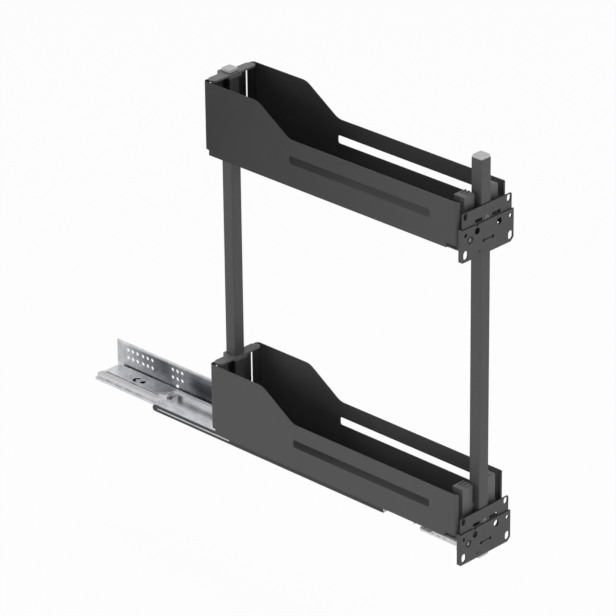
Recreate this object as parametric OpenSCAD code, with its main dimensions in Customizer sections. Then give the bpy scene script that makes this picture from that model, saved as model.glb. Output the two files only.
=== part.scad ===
// Narrow pull-out rack for a base cabinet: two sheet-steel baskets on two square posts,
// carried by a three-part roller runner that is screwed to one side of the cabinet.
// It is drawn partly pulled out. X runs across the rack, Y from the door to the back, Z up.

/* [Baskets] */
// Length of a basket, front to back
basket_len = 480; // [430:5:520]
// Outside width of a basket
basket_w = 99; // [90:1:110]
// Height of the tall rear part of a basket
basket_rear_h = 111; // [95:1:130]
// Height of the low front part of a basket
basket_front_h = 71; // [62:1:84]
// Thickness of the basket sheet
sheet_t = 1.5; // [1:0.1:2]
// Straight tall stretch of the side, from the rear end
shoulder_back = 106; // [90:1:130]
// Length of the sloping shoulder of the side
shoulder_run = 61; // [45:1:80]
// Radius where the shoulder meets the tall part and the low part
shoulder_r = 26; // [10:1:30]
// Radius of the top corners of the end flanges
corner_r = 4; // [2:0.5:5]
// Radius of the upright folds at the rear of a basket
rear_fold_r = 6; // [3:0.5:8]
// Height of the long slot in each side
side_slot_h = 12.5; // [8:0.5:16]
// Height of the middle of the long slot above the floor
side_slot_z = 40.5; // [34:0.5:46]
// Radius of the corners of the long slot
side_slot_r = 3.2; // [1.5:0.1:4]
// Distance from the front to the long slot
side_slot_front = 50; // [40:1:80]
// Solid side between the rear end and the long slot
side_slot_back = 167; // [150:1:200]
// Width of the short flanges at the rear ends of the sides
rear_flange_w = 11.7; // [9:0.1:14]
// Width of the short flanges at the front ends of the sides
front_flange_w = 6; // [6:0.5:9]
// Width of the rear wall between the flanges
rear_wall_w = 68; // [60:1:70]
// Height of the upper basket above the lower one
upper_z = 442; // [340:2:460]

/* [Posts] */
// Width of a square post
post_w = 19; // [17:0.5:19.5]
// Wall of a post
post_wall = 1.5; // [1:0.1:2]
// Radius of the long edges of a post
post_edge_r = 1.5; // [1:0.1:2]
// Middle of the front post behind the front edge of the baskets
front_post_y = 2.1; // [1.5:0.1:3]
// Front post above the floor of the upper basket
front_post_rise = 122; // [100:0.5:160]
// Front post below the floor of the lower basket
front_post_drop = 37; // [32:0.5:38]
// Rear post above the rear edge of the upper basket
rear_post_rise = 2; // [1.5:0.5:12]
// Height of the visible part of an end cap
cap_h = 4.5; // [3:0.5:8]
// Depth of an end cap's plug inside the post
cap_plug = 14; // [8:1:20]

/* [Basket clamps] */
// Width of a front clamp block
block_w = 20.5; // [16:0.5:23]
// Depth of a front clamp block, front to back
block_d = 19; // [18:0.5:21]
// Height of a front clamp block above the basket floor
block_h = 71.5; // [55:0.5:76]
// Gap between a front clamp block and the post
block_gap = 3.5; // [3:0.5:5]
// Height of the clamp jaws that grip the front post
jaw_h = 38; // [25:1:42]
// Length of the rear clamp bar across the basket
bar_len = 86; // [80:1:90]
// Depth of the rear clamp bar, front to back
bar_d = 16; // [15:0.5:18]
// Height of the rear clamp bar
bar_h = 3; // [2.5:0.5:4]
// Height of the collar of the rear clamp bar
collar_h = 7; // [6:0.5:12]
// Radius of the clamp bolts
bolt_r = 2.5; // [2:0.1:2.5]

/* [Door brackets] */
// Height of the lower door plate's middle above the lower basket floor
lower_plate_z = -10.6; // [-12:0.2:-8]
// Height of the upper door plate's middle above the upper basket floor
upper_plate_z = 10.3; // [6:0.1:14]
// Thickness of the bracket plates
plate_t = 2; // [1.5:0.1:2.2]
// Gap between the two plates of a bracket
plate_gap = 0.2; // [0.1:0.05:0.4]
// Width of a door plate
door_plate_w = 103; // [100:1:106]
// Height of a door plate
door_plate_h = 48; // [46:1:54]
// Depth of the folded edge of a door plate
door_fold_d = 7.5; // [5:0.5:9]
// Width of a post plate
post_plate_w = 99; // [96:1:99]
// Top of a post plate above the middle of the door plate
post_plate_top = 47; // [44:0.5:56]
// Distance between the two door screw holes
door_hole_pitch = 90; // [84:1:92]
// Radius of the door screw holes
door_hole_r = 3; // [2:0.25:3.5]
// Height of the door screw holes above the middle of the door plate
door_hole_z = 15; // [11:0.5:18]
// Distance from the height cam's centre to its driving pin
cam_throw = 2.8; // [2.2:0.1:3]
// Radius of the height cam
cam_r = 6; // [5.2:0.1:6.4]
// Up or down travel of a door plate
plate_lift = 2; // [1:0.5:2]

/* [Runner] */
// Length of the cabinet profile
runner_len = 480; // [450:5:520]
// How far the rack is drawn out in the drawn pose
drawn_out = 290; // [220:5:300]
// Height of the cabinet wall flange
flange_h = 39; // [34:0.5:44]
// Cabinet wall to the middle of the rack
wall_x = 54; // [53.5:0.5:60]
// Thickness of the cabinet profile sheet
cabinet_t = 1.8; // [1.5:0.1:2]
// Thickness of the middle profile sheet
middle_t = 1.4; // [1.2:0.1:1.6]
// Thickness of the drawer profile sheet
drawer_t = 1.6; // [1.2:0.1:1.8]
// Radius of the lower rollers
lower_roller_r = 5.65; // [5.2:0.05:5.9]
// Radius of the upper rollers
upper_roller_r = 3.05; // [2.6:0.05:3.2]
// Radius of the screw holes in the cabinet flange
wall_hole_r = 3.1; // [2:0.1:3.3]
// Spacing along the runner of the screw holes in one group
wall_hole_pitch = 10; // [8:0.5:12]
// Vertical spacing of the screw holes in one group
wall_hole_rise = 12.8; // [10:0.2:16]
// System spacing between groups of screw holes
system_pitch = 32; // [32:1:34]

/* [Hidden] */
$fn = 48;
fit = 0.05;
gap = 0.3;
slack = 0.15;

// Places across the rack
half_w = basket_w / 2;
half_post = post_w / 2;

// Places along the rack
rear_post_y = basket_len - 3.5;
post_front = front_post_y - half_post;
post_back = front_post_y + half_post;
plate_front = post_front - plate_t;
door_back = plate_front - plate_gap;
door_front = door_back - plate_t;
block_y = front_post_y - 0.4;
bolt_y = post_back + bolt_r + 0.6;
bolt_z = 25;

// Heights of the rear clamp above a basket floor, and its place along the rack
bar_top = basket_rear_h + 1;
bar_low = bar_top - bar_h;
collar_low = bar_top - collar_h;
collar_w = half_post + 3.5;
bar_y1 = basket_len + 0.5;
bar_y0 = bar_y1 - bar_d;
collar_y1 = rear_post_y + half_post + 4;

// Runner sections: heights are below the lower basket floor
drawer_x0 = -22;
drawer_x1 = 36;
drawer_skirt = 17.4;
tongue_z = -drawer_skirt;
tongue_x0 = -8;
tongue_x1 = 27;
middle_top = tongue_z - 2 * upper_roller_r - 2 * fit;
middle_x0 = -2;
middle_step_x = 3.6;
middle_x1 = 30;
middle_lip_x = 22;
middle_lip_gap = 1.4;
middle_lip_top = tongue_z + drawer_t + middle_lip_gap + middle_t;
shelf_top = middle_top - middle_t - 2 * lower_roller_r - 2 * fit;
shelf_x0 = 5;
shelf_x1 = 20;
shelf_lip = 2.4;
glide_h = 2.2;
middle_bottom = shelf_top - cabinet_t - glide_h - slack - middle_t;
middle_step_z = middle_bottom + 11;
rib_z0 = middle_bottom + 4.4;
rib_z1 = rib_z0 + 2.4;
strip_t = 1.2;
strip_h = 9.8;
lower_lip_x = 14;
web_top = middle_top - middle_t - 1.4;
flange_top = web_top + flange_h;

// Runner places along the rack in the drawn pose
drawer_y0 = post_back + 2.1;
drawer_y1 = basket_len - 2;
cabinet_y1 = drawer_y1 + drawn_out + 15;
cabinet_y0 = cabinet_y1 - runner_len;
middle_len = runner_len - 10;
middle_overrun = 13;
middle_y1 = cabinet_y1 - drawn_out / 2 + middle_overrun;
middle_y0 = middle_y1 - middle_len;
stop_len = middle_overrun + 14.7;
web_cutback = 10;
rear_stop_y0 = cabinet_y1 - 129;
rear_stop_h = 8.6;
groove_w = 3;
groove_d = 4;
groove_x0 = wall_x - 2 * cabinet_t - groove_w;
foot_plate_x = shelf_x1 + cabinet_t + 1.2;
web_slot = [shelf_x1 + 10, cabinet_y1 - 66];
web_slot_r = 7.5;
web_slot_core = 3;
web_round_hole = 4.4;
window_y = cabinet_y1 - 132;

// Screw hole groups in the flange, from the rear end and from the front end
wall_hole_z = web_top + 27.4;
rear_group = 33;
front_group = 37;
group_ys = [
    cabinet_y1 - rear_group,
    cabinet_y1 - rear_group - system_pitch,
    cabinet_y1 - rear_group - 3 * system_pitch,
    cabinet_y0 + front_group + system_pitch,
    cabinet_y0 + front_group
];

// The part's origin is on the cabinet wall, in the middle of the front group of screw holes
origin = [wall_x, cabinet_y0 + front_group, wall_hole_z - wall_hole_rise / 2];

// Roller carriages
lower_cage_y0 = cabinet_y0 + 47;
lower_cage_len = runner_len / 2 - 12;
lower_cage_x0 = shelf_x0 + cabinet_t + 1.2;
lower_cage_x1 = shelf_x1 - 1;
upper_cage_y0 = middle_y0 + 47;
upper_cage_len = middle_len / 2 - 15;
upper_cage_x0 = 6;
upper_cage_x1 = 22.4;
cage_rail = 1.3;
roller_inset = 13;
axle_r = 1.4;
upper_axle_r = 0.9;
lower_roller_z = shelf_top + fit + lower_roller_r;
upper_roller_z = middle_top + fit + upper_roller_r;

// Fasteners and stops of the runner and the posts
floor_screw_r = bolt_r - 0.5;
floor_screws = [
    for (x = [drawer_x0 + 8, drawer_x1 - 5.5], y = [drawer_y0 + 94, drawer_y1 - 80]) [x, y]
];
set_screw_r = 2;
stop_peg_r = 2;
stop_peg_x = shelf_x1 - 3;
stop_peg_y = cabinet_y1 - 20;
stop_lug_r = 7.5;
stop_lug_t = 3.4;
stop_rivet_x = 21.5;
stop_rivet_y = middle_y1 - 9.5;
lip_cutback = 20;
stop_rivet_r = 1.6;
rivet_r = 2.2;
bracket_x0 = -5.5;
bracket_x1 = 20;
bracket_t = 2;
rivet_places = [for (y = [drawer_y0 + 16, drawer_y0 + 36]) [bracket_x1 - 8, y]];
post_screw_r = 2.5;
foot_plug = 9;
bracket_screws = [-9, -22];
front_post_top = upper_z + front_post_rise;
rear_post_top = upper_z + basket_rear_h + rear_post_rise;
upper_mid = upper_z + upper_plate_z;
plate_screw_zs = [26, 6];

// Front clip under the near side of the drawer profile
clip_x0 = -27;
clip_x1 = -10;
clip_y0 = drawer_y0 + 0.5;
clip_len = 86;
clip_low = -23.5;
lever_pin_x = -19;
lever_pin_y = clip_y0 + clip_len - 12;
lever_pin_r = 2;
lever_t = 3;
lever_top = clip_low - gap;
knob_drop = 4.5;

// Places on a door bracket, in X and in Z above the middle of the door plate
big_hole = [22, 14.5];
big_hole_r = 5;
cam_at = [-36, 5.4];
cam_pin_r = 2;
cam_pin_slack = 0.12;
lock_at = [-17, -17.3];
lock_r = 1.7;
lock_head = 1.4;
ear_at = [43.5, 41];
ear_slot = [7.6, 10.4];
fix_slot = [45, -14];
fix_slot_size = [9, 13];
post_plate_low = 38;

// Small building helpers

// A box between two corners
module box(low, high) {
    translate(low) cube(high - low);
}

// A bar of constant section along Y: sec is a list of [x0, z0, x1, z1] pieces
module section(sec, y0, y1) {
    for (s = sec) box([s[0], y0, s[1]], [s[2], y1, s[3]]);
}

// An outline in Y and Z, drawn out along X
module along_x(x0, x1) {
    translate([x0, 0, 0]) rotate([90, 0, 90]) linear_extrude(x1 - x0) children();
}

// A round rod from a point, pointing along X, Y or Z
module rod_x(r, x0, x1, y, z) {
    translate([x0, y, z]) rotate([0, 90, 0]) cylinder(r = r, h = x1 - x0);
}

module rod_y(r, x, y0, y1, z) {
    translate([x, y0, z]) rotate([-90, 0, 0]) cylinder(r = r, h = y1 - y0);
}

module rod_z(r, x, y, z0, z1) {
    translate([x, y, z0]) cylinder(r = r, h = z1 - z0);
}

// A slot with round ends, cut along Y through plates: centre, size along X and Z
module slot_y(x, z, len_x, len_z, y0, y1) {
    r = min(len_x, len_z) / 2;
    dx = len_x / 2 - r;
    dz = len_z / 2 - r;
    for (s = [-1, 1]) rod_y(r, x + s * dx, y0, y1, z + s * dz);
    if (dx > dz) box([x - dx, y0, z - r], [x + dx, y1, z + r]);
    else box([x - r, y0, z - dz], [x + r, y1, z + dz]);
}

// A square bar with round long edges, standing on z0 and centred on x and y
module square_bar(w, r, z0, z1, x, y) {
    h = w / 2;
    box([x - h, y - h + r, z0], [x + h, y + h - r, z1]);
    box([x - h + r, y - h, z0], [x + h - r, y + h, z1]);
    for (sx = [-1, 1], sy = [-1, 1]) rod_z(r, x + sx * (h - r), y + sy * (h - r), z0, z1);
}

// A plate with round vertical edges, for the plan of a basket
module round_plan(x, y0, y1, r_front, r_rear, z0, z1) {
    box([-x, y0 + r_front, z0], [x, y1 - r_rear, z1]);
    box([-x + r_front, y0, z0], [x - r_front, y1 - r_rear, z1]);
    box([-x + r_rear, y0 + r_front, z0], [x - r_rear, y1, z1]);
    for (s = [-1, 1]) {
        rod_z(r_front, s * (x - r_front), y0 + r_front, z0, z1);
        rod_z(r_rear, s * (x - r_rear), y1 - r_rear, z0, z1);
    }
}

// Points of a round corner: p is the sharp corner, a and b its neighbours
function unit(v) = v / norm(v);
function rounded(a, p, b, r, steps = 8) =
    let (
        u = unit(a - p),
        v = unit(b - p),
        half = acos(u * v) / 2,
        reach = r / tan(half),
        centre = p + unit(u + v) * r / sin(half),
        from = p + u * reach - centre,
        to = p + v * reach - centre
    )
    [for (i = [0 : steps])
        let (d = unit(from * (1 - i / steps) + to * (i / steps)))
        centre + d * r];

// Side of a basket in Y and Z, with the tall rear, the sloping shoulder and the low front
module side_outline() {
    corners = [
        [0, 0], [0, basket_front_h],
        [basket_len - shoulder_back - shoulder_run, basket_front_h],
        [basket_len - shoulder_back, basket_rear_h],
        [basket_len, basket_rear_h], [basket_len, 0]
    ];
    polygon(concat(
        [corners[0], corners[1]],
        rounded(corners[1], corners[2], corners[3], shoulder_r),
        rounded(corners[2], corners[3], corners[4], shoulder_r),
        [corners[4], corners[5]]
    ));
}

// Material outside a round top corner of an upright flange: the corner is at x and z
module corner_off(x, z, r, y0, y1) {
    difference() {
        box([x - 1, y0, z - r], [x + r, y1, z + 2]);
        rod_y(r, x + r, y0 - 1, y1 + 1, z - r);
    }
}

// One basket with its floor at z: folded sides, floor, rear wall, slots and post cut-outs
module basket(z) {
    rim = basket_rear_h + 1;
    slot_y0 = side_slot_front + side_slot_r;
    slot_y1 = basket_len - side_slot_back - side_slot_r;
    slot_z0 = side_slot_z - side_slot_h / 2;
    slot_z1 = side_slot_z + side_slot_h / 2;
    front_relief = [20, 7];
    rear_relief = [9, 8];
    rear_wall = rear_wall_w / 2;
    front_in = half_w - front_flange_w;
    rear_in = half_w - rear_flange_w;
    notch = half_post + gap;
    translate([0, 0, z]) difference() {
        intersection() {
            difference() {
                round_plan(half_w, 0, basket_len, 5, rear_fold_r, 0, rim);
                round_plan(half_w - sheet_t, sheet_t, basket_len - sheet_t, 5 - sheet_t,
                           rear_fold_r - sheet_t, sheet_t, rim + 1);
            }
            along_x(-half_w - 1, half_w + 1) side_outline();
        }
        // opening between the front flanges
        box([-front_in, -1, sheet_t], [front_in, 6, rim]);
        // long slot through both sides
        for (y = [slot_y0, slot_y1], h = [slot_z0 + side_slot_r, slot_z1 - side_slot_r])
            rod_x(side_slot_r, -half_w - 1, half_w + 1, y, h);
        box([-half_w - 1, slot_y0, slot_z0], [half_w + 1, slot_y1, slot_z1]);
        box([-half_w - 1, slot_y0 - side_slot_r, slot_z0 + side_slot_r],
            [half_w + 1, slot_y1 + side_slot_r, slot_z1 - side_slot_r]);
        for (s = [-1, 1]) mirror([s < 0 ? 1 : 0, 0, 0]) {
            // gap between the rear wall and a rear flange
            box([rear_wall, basket_len - 4, sheet_t], [rear_in, basket_len + 1, rim]);
            // bend reliefs at the lower corners of the sides
            box([half_w - sheet_t - 1, -1, -1], [half_w + 1, front_relief[0], front_relief[1]]);
            box([rear_in - 1, basket_len - rear_relief[0], -1], [half_w + 1, basket_len + 1,
                rear_relief[1]]);
            // round top corners of the flanges
            corner_off(front_in, basket_front_h, corner_r, -1, 5);
            corner_off(rear_in, basket_rear_h, corner_r, basket_len - 4, basket_len + 1);
        }
        // top of the rear wall, lowered for the clamp bar and its collar
        box([-rear_wall - 1, basket_len - 4, bar_low - slack], [rear_wall + 1, basket_len + 1, rim + 1]);
        box([-collar_w - gap, basket_len - 4, collar_low - slack], [collar_w + gap, basket_len + 1,
            rim + 1]);
        // cut-outs for the two posts
        box([-notch, -1, -1], [notch, post_back + gap, rim]);
        box([-notch, rear_post_y - half_post - gap, -1], [notch, basket_len + 1, rim]);
        // screw holes to the runner
        if (z == 0) for (p = floor_screws) rod_z(bolt_r - 0.4, p[0], p[1], -1, 3);
    }
}

// Clamp block beside the front post, on the side that s names, with a ribbed top and a jaw
module front_clamp(s, z) {
    x0 = half_post + block_gap;
    x1 = x0 + block_w;
    y1 = block_y + block_d;
    top = sheet_t + block_h;
    ridge = 1.2;
    translate([0, 0, z]) mirror([s < 0 ? 1 : 0, 0, 0]) difference() {
        union() {
            box([x0, block_y, sheet_t], [x1, y1, top]);
            box([half_post + fit, block_y, sheet_t + 5], [x0 + 1, y1, sheet_t + 5 + jaw_h]);
            for (i = [0 : 2]) {
                ridge_y = block_y + block_d * (i + 0.5) / 3 - 1.1;
                box([x0, ridge_y, top - 1], [x0 + block_w * 0.55, ridge_y + 2.2, top + ridge]);
            }
        }
        rod_x(bolt_r + 0.1, -1, x1 + 1, bolt_y, bolt_z);
        // pocket in the outer face for the bolt's head or nut
        rod_x(bolt_r * 1.8 + 0.3, x1 - bolt_r * 2, x1 + 1, bolt_y, bolt_z);
        // hollow from below, as in a moulded block
        box([x0 + 3, block_y + 3, -1], [x1 - 3, y1 - 3, bolt_z - 8]);
    }
}

// Long bolt behind the front post that pulls the two clamp blocks together
module clamp_bolt(z) {
    seat = half_post + block_gap + block_w - bolt_r * 2;
    translate([0, bolt_y, z + bolt_z]) difference() {
        union() {
            rod_x(bolt_r, -seat - bolt_r * 1.7, seat + 1, 0, 0);
            rod_x(bolt_r * 1.8, seat, seat + bolt_r * 1.8, 0, 0);
        }
        translate([seat + bolt_r * 0.9, 0, 0]) rotate([0, 90, 0]) cylinder(r = bolt_r, h = 10, $fn = 6);
    }
}

// Hexagon nut on the end of the clamp bolt
module clamp_nut(z) {
    seat = half_post + block_gap + block_w - bolt_r * 2;
    translate([0, bolt_y, z + bolt_z]) difference() {
        translate([-seat - bolt_r * 1.6, 0, 0]) rotate([0, 90, 0])
            cylinder(r = bolt_r * 1.85, h = bolt_r * 1.6, $fn = 6);
        rod_x(bolt_r + fit, -seat - 20, 0, 0, 0);
    }
}

// Thin bar with round ends on the rear wall, with a collar round the rear post
module rear_clamp(z) {
    r = bar_d / 2 - 1;
    hole = half_post + fit;
    rear_in = half_w - rear_flange_w;
    translate([0, 0, z]) difference() {
        union() {
            round_plan(bar_len / 2, bar_y0, bar_y1, r, r, bar_low, bar_top);
            round_plan(collar_w, bar_y0, collar_y1, 1, 3, collar_low, bar_top);
        }
        box([-hole, rear_post_y - hole, collar_low - 1], [hole, rear_post_y + hole, bar_top + 1]);
        // cut back at the rear flanges of the basket
        for (s = [-1, 1]) mirror([s < 0 ? 1 : 0, 0, 0])
            box([rear_in - slack, basket_len - sheet_t - slack, bar_low - 1], [half_w, bar_y1 + 1,
                bar_top + 1]);
        rod_y(set_screw_r + fit, 0, rear_post_y, collar_y1 + 1, bar_top - collar_h / 2);
    }
}

// Headless screw that locks the rear clamp on the post
module set_screw(z) {
    y1 = collar_y1 + 0.6;
    screw_z = z + bar_top - collar_h / 2;
    difference() {
        rod_y(set_screw_r, 0, rear_post_y + half_post + fit, y1, screw_z);
        translate([0, y1 - 2.2, screw_z]) rotate([-90, 0, 0]) cylinder(r = 1.1, h = 5, $fn = 6);
    }
}

// Cabinet profile: wall flange, web, and the shelf that the lower rollers run on
module cabinet_profile() {
    color("gainsboro") placed() difference() {
        section([
            [wall_x - cabinet_t, web_top - groove_d - cabinet_t, wall_x, flange_top],
            [foot_plate_x, web_top - groove_d - cabinet_t, wall_x, web_top - groove_d],
            [groove_x0, web_top - groove_d - cabinet_t, groove_x0 + cabinet_t, web_top],
            [shelf_x1, web_top - cabinet_t, groove_x0 + cabinet_t, web_top],
            [shelf_x1, shelf_top - cabinet_t, shelf_x1 + cabinet_t, web_top],
            [shelf_x0, shelf_top - cabinet_t, shelf_x1 + cabinet_t, shelf_top],
            [shelf_x0, shelf_top - cabinet_t, shelf_x0 + cabinet_t, shelf_top + shelf_lip]
        ], cabinet_y0, cabinet_y1);
        for (y = group_ys, i = [-1 : 1], k = [0, 1])
            rod_x(wall_hole_r, wall_x - 5, wall_x + 1, y + i * wall_hole_pitch,
                wall_hole_z - k * wall_hole_rise);
        // web cut back at the rear end
        box([shelf_x1 - 1, cabinet_y1 - web_cutback, web_top - groove_d - 0.5],
            [wall_x - cabinet_t - groove_w / 2, cabinet_y1 + 1, web_top + 1]);
        // window at the foot of the flange
        box([wall_x - 5, window_y, web_top + 0.4], [wall_x + 1, window_y + 7, web_top + 5.4]);
        // curved slot and hole in the web, above the foot plate
        difference() {
            rod_z(web_slot_r, web_slot[0], web_slot[1], web_top - groove_d + 0.5, web_top + 1);
            rod_z(web_slot_core, web_slot[0], web_slot[1], web_top - groove_d, web_top + 2);
            box([shelf_x1, web_slot[1] - 2 * web_slot_r, web_top - groove_d],
                [web_slot[0] + 2 * web_slot_r, web_slot[1] - 1, web_top + 2]);
        }
        rod_z(web_round_hole, web_slot[0], web_slot[1] - 1.5 * web_slot_r, web_top - groove_d + 0.5,
            web_top + 1);
        // hole for the rear stop's peg
        rod_z(stop_peg_r, stop_peg_x, stop_peg_y, shelf_top - 5, shelf_top + 1);
    }
}

// Long plastic stop on the rear end of the shelf, with round upper edges
module cabinet_rear_stop() {
    x0 = shelf_x0 + cabinet_t + slack;
    x1 = shelf_x1 - slack;
    top = shelf_top + rear_stop_h;
    y1 = cabinet_y1 - 2;
    color("lightgray") placed() {
        difference() {
            union() {
                section([[x0, shelf_top, x1, top - 3], [x0 + 3, shelf_top, x1 - 3, top]], rear_stop_y0, y1);
                for (x = [x0 + 3, x1 - 3]) rod_y(3, x, rear_stop_y0, y1, top - 3);
            }
            for (i = [0 : 3]) box([x0 - 1, rear_stop_y0 + 30 + i * 22, shelf_top + 2.5],
                                  [x0 + 1, rear_stop_y0 + 42 + i * 22, top - 4]);
        }
        rod_z(stop_peg_r - fit, stop_peg_x, stop_peg_y, shelf_top - cabinet_t - 0.6, shelf_top + 1);
    }
}

// Middle profile: a lower channel round the shelf, with a rib along its side, and an upper
// channel round the tongue
module middle_profile() {
    color("silver") placed() difference() {
        union() {
            section([
                [middle_x0, middle_bottom, lower_lip_x, middle_bottom + middle_t],
                [middle_x0, middle_bottom, middle_x0 + middle_t, middle_step_z + middle_t],
                [middle_x0, middle_step_z, middle_step_x + middle_t, middle_step_z + middle_t],
                [middle_step_x, middle_step_z, middle_step_x + middle_t, middle_top],
                [middle_step_x, middle_top - middle_t, middle_x1, middle_top],
                [middle_x1 - middle_t, middle_top - middle_t, middle_x1, middle_lip_top],
                [middle_lip_x, middle_lip_top - middle_t, middle_x1, middle_lip_top]
            ], middle_y0, middle_y1);
            box([middle_x0 - strip_t + 0.3, middle_y0, rib_z0 + fit],
                [middle_x0 + 1, middle_y1 - strip_h - gap, rib_z1 - fit]);
        }
        // web hole in front of the stop, and the rivet's hole
        rod_z(4.2, stop_rivet_x - 5.2, stop_rivet_y - stop_lug_r, middle_top - 5, middle_top + 1);
        rod_z(stop_rivet_r + fit, stop_rivet_x, stop_rivet_y, middle_top - 5, middle_top + 1);
        // wall and lip cut back above the stop
        box([middle_lip_x - 1, middle_y1 - lip_cutback, middle_top], [middle_x1 + 1, middle_y1 + 1,
            middle_lip_top + 1]);
    }
}

// Dark plastic strip with a round rear end on the side of the middle profile, round the rib
module middle_side_strip() {
    x0 = middle_x0 - strip_t;
    z0 = middle_bottom + 0.6;
    r = strip_h / 2;
    color("dimgray") placed() difference() {
        union() {
            box([x0, middle_y0 + 1, z0], [middle_x0, middle_y1 - r, z0 + strip_h]);
            rod_x(r, x0, middle_x0, middle_y1 - r, z0 + r);
        }
        box([x0 - 1, middle_y0, rib_z0], [middle_x0 + 1, middle_y1 - strip_h, rib_z1]);
    }
}

// Riveted lug on the rear end of the middle profile, with the nose that stops the tongue
module middle_stop() {
    x = stop_rivet_x;
    y = stop_rivet_y;
    x1 = middle_x1 - middle_t - slack;
    y0 = middle_y1 - stop_len;
    color("dimgray") placed() difference() {
        union() {
            rod_z(stop_lug_r, x, y, middle_top, middle_top + stop_lug_t);
            translate([0, 0, middle_top]) linear_extrude(stop_lug_t) polygon([
                [x - stop_lug_r, y], [x - 11, y + 11], [x - 7, y + 15.5], [x + 5, y + 5]
            ]);
            box([x1 - 6, y0, middle_top], [x1, y, middle_top + stop_lug_t]);
            box([x1 - 6, y0, middle_top], [x1, middle_y1 - lip_cutback - gap, middle_lip_top - middle_t]);
        }
        rod_z(stop_rivet_r + fit, x, y, middle_top - 1, middle_top + stop_lug_t + 1);
    }
}

// Rivet through the lug and the web, with a ring for a head
module middle_stop_rivet() {
    top = middle_top + stop_lug_t;
    color("darkgray") placed() {
        rod_z(stop_rivet_r, stop_rivet_x, stop_rivet_y, middle_top - middle_t - 0.6, top + 0.6);
        difference() {
            rod_z(4.2, stop_rivet_x, stop_rivet_y, top, top + 1.3);
            rod_z(2.6, stop_rivet_x, stop_rivet_y, top + 0.6, top + 2);
        }
    }
}

// Plastic strip on the lower channel that slides under the shelf
module lower_glide() {
    color("whitesmoke") placed()
        box([shelf_x0 + 1, middle_y0 + 7, middle_bottom + middle_t],
            [lower_lip_x - 0.5, middle_y1 - 7, middle_bottom + middle_t + glide_h]);
}

// Plastic strip under the upper lip that slides on the tongue
module upper_glide() {
    color("whitesmoke") placed()
        box([middle_lip_x + 1, middle_y0 + 7, tongue_z + drawer_t + slack],
            [tongue_x1 - 1, middle_y1 - stop_len - 2, middle_lip_top - middle_t]);
}

// Carriage frame: two rails with axle holes, joined by cross bars between the rollers
module roller_cage(x0, x1, y0, len, z, h, axle) {
    ys = [for (i = [0 : 2]) y0 + roller_inset + i * (len - 2 * roller_inset) / 2];
    difference() {
        union() {
            for (x = [x0, x1 - cage_rail]) box([x, y0, z - h / 2], [x + cage_rail, y0 + len, z + h / 2]);
            for (i = [0, 1], k = [0.25, 0.5, 0.75]) {
                y = ys[i] + (ys[i + 1] - ys[i]) * k;
                box([x0, y - 3, z - h / 2], [x1, y + 3, z + h / 2 - 0.6]);
            }
        }
        for (y = ys) rod_x(axle + fit, x0 - 1, x1 + 1, y, z);
    }
}

// One roller with its stub axles; i counts from the front
module roller(x0, x1, y0, len, z, r, axle, i) {
    y = y0 + roller_inset + i * (len - 2 * roller_inset) / 2;
    rod_x(r, x0 + cage_rail + slack, x1 - cage_rail - slack, y, z);
    rod_x(axle, x0, x1, y, z);
}

module lower_roller(i) {
    color("ivory") placed()
        roller(lower_cage_x0, lower_cage_x1, lower_cage_y0, lower_cage_len, lower_roller_z,
            lower_roller_r, axle_r, i);
}

module upper_roller(i) {
    color("ivory") placed()
        roller(upper_cage_x0, upper_cage_x1, upper_cage_y0, upper_cage_len, upper_roller_z, upper_roller_r,
               upper_axle_r, i);
}

module lower_roller_cage() {
    color("dimgray") placed()
        roller_cage(lower_cage_x0, lower_cage_x1, lower_cage_y0, lower_cage_len, lower_roller_z, 5, axle_r);
}

module upper_roller_cage() {
    color("dimgray") placed()
        roller_cage(upper_cage_x0, upper_cage_x1, upper_cage_y0, upper_cage_len, upper_roller_z, 4,
            upper_axle_r);
}

// Drawer profile: top plate under the basket, side skirts and the tongue in the middle profile
module drawer_profile() {
    color("gainsboro") placed() difference() {
        union() {
            box([drawer_x0, drawer_y0, -drawer_t], [drawer_x1, rear_post_y + half_post, 0]);
            section([
                [drawer_x0, -drawer_skirt, drawer_x0 + drawer_t, 0],
                [drawer_x1 - drawer_t, -14, drawer_x1, 0],
                [tongue_x0, tongue_z, tongue_x0 + drawer_t, 0],
                [tongue_x0, tongue_z, tongue_x1, tongue_z + drawer_t]
            ], drawer_y0, drawer_y1);
        }
        for (p = floor_screws) rod_z(floor_screw_r + 0.1, p[0], p[1], -5, 1);
        for (p = rivet_places) rod_z(rivet_r + fit, p[0], p[1], -5, 1);
        rod_z(post_screw_r + 0.1, 0, rear_post_y, -5, 1);
    }
}

// Angle that joins the front post to the drawer profile
module front_post_bracket() {
    color("silver") placed() difference() {
        union() {
            box([bracket_x0, post_back, -drawer_t - bracket_t], [bracket_x1, post_back + 48, -drawer_t]);
            box([bracket_x0, post_back, -27], [half_post, post_back + bracket_t, -drawer_t]);
        }
        for (z = bracket_screws) rod_y(post_screw_r + 0.1, bracket_x0 + 7, post_back - 1, post_back + 5, z);
        for (p = rivet_places) rod_z(rivet_r + fit, p[0], p[1], -10, 0);
    }
}

module front_post_screws() {
    head = post_back + bracket_t;
    color("silver") placed() for (z = bracket_screws) difference() {
        union() {
            rod_y(post_screw_r, bracket_x0 + 7, post_back - 5, head + 1, z);
            rod_y(post_screw_r * 1.5, bracket_x0 + 7, head, head + 2.6, z);
        }
        translate([bracket_x0 + 7, head + 1.2, z]) rotate([-90, 0, 0]) cylinder(r = 1.6, h = 5, $fn = 6);
    }
}

module drawer_rivets() {
    color("silver") placed() for (p = rivet_places) {
        rod_z(rivet_r, p[0], p[1], -drawer_t - bracket_t - 1, 0);
        rod_z(rivet_r * 1.8, p[0], p[1], -drawer_t - bracket_t - 1.4, -drawer_t - bracket_t);
    }
}

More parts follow.
